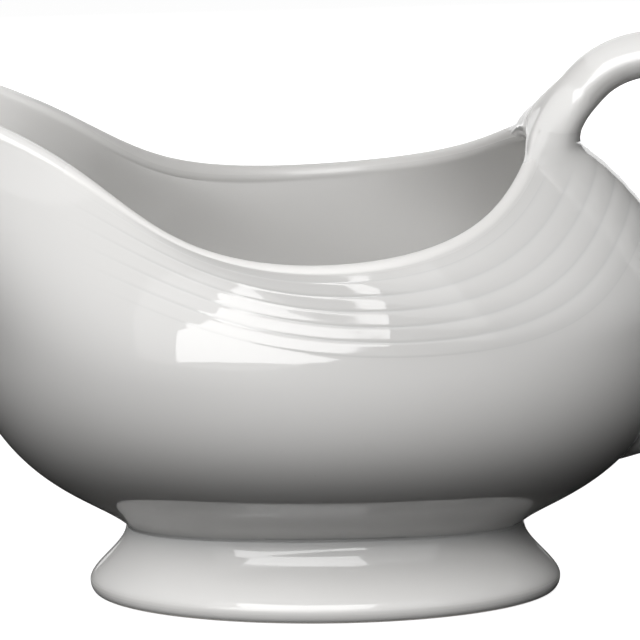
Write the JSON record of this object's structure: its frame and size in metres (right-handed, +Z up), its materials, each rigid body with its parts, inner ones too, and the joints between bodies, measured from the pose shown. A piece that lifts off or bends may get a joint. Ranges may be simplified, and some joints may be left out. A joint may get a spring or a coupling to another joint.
{
  "type": "gravy boat",
  "caption": "Oval ceramic gravy boat with a raised pouring spout, a wavy rim with shallow bands below it, a flared pedestal foot and a loop handle.",
  "frame": {"origin": "on the ground under the middle of the overall box, which is also under the middle of the foot", "axes": "+X towards the handle, so the spout points to -X; +Z up; the boat is alike on both sides of the XZ plane"},
  "size_m": [0.203, 0.115, 0.1084],
  "materials": {
    "white_glaze": "smooth glossy white glaze fired on vitrified clay",
    "glazed_slip": "luting slip smoothed by hand and glazed over"
  },
  "bodies": {
    "root": {"bowl": "white_glaze", "pedestal_foot": "white_glaze", "foot_slip_joint": "glazed_slip", "handle": "white_glaze", "upper_slip_joint": "glazed_slip", "lower_slip_joint": "glazed_slip"}
  },
  "joints": []
}
